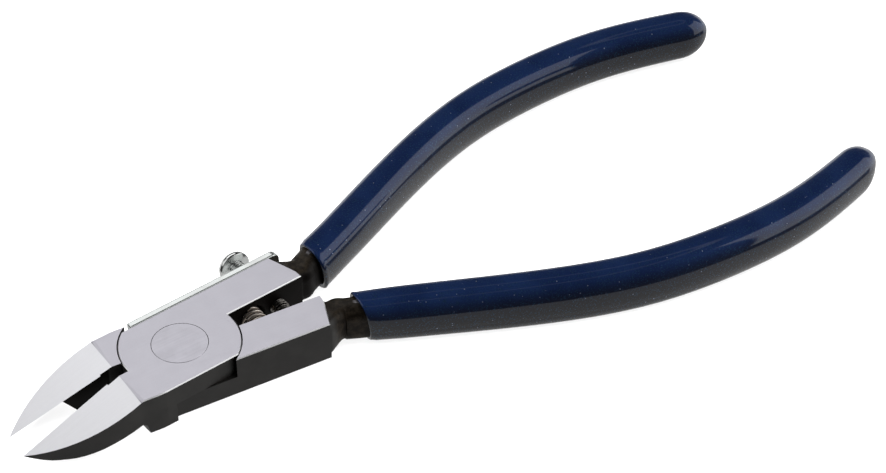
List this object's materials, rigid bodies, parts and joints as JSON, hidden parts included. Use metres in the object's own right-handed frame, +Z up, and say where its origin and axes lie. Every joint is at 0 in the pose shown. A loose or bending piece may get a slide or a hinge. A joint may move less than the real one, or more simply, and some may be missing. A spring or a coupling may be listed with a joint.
{
  "type": "mosaic glass nippers",
  "caption": "Spring-opened hand nippers with a flush lap joint, sloping flush-ground jaws, an opening stopper and curved dipped handles, for nipping glass and tile.",
  "frame": {"origin": "on the pivot axis, on the underside of the head", "axes": "+X from the pivot to the handle ends, +Y towards handle A, +Z up through the head"},
  "size_m": [0.1491, 0.061, 0.0096],
  "materials": {
    "forged_steel": "ground satin faces with dark oxide sides",
    "ground_steel": "ground satin",
    "grip_vinyl": "glossy metallic navy dipped vinyl",
    "spring_wire": "bright drawn wire",
    "zinc_plate": "bright zinc plating",
    "plated_screw": "bright nickel plating"
  },
  "bodies": {
    "half_a": {"jaw_handle_a": "forged_steel", "grip_a": "grip_vinyl", "pivot_rivet": "ground_steel", "stopper_plate": "zinc_plate", "stopper_screw": "plated_screw", "return_spring": "spring_wire"},
    "half_b": {"jaw_handle_b": "forged_steel", "grip_b": "grip_vinyl"}
  },
  "joints": [
    {"name": "pivot", "type": "hinge", "parent": "half_a", "child": "half_b", "pos_m": [0, 0, 0.0036], "axis": [0, 0, 1], "range_deg": [-4, 9.15], "stiffness_Nm_per_rad": 0.3, "deforming": ["return_spring"]}
  ]
}
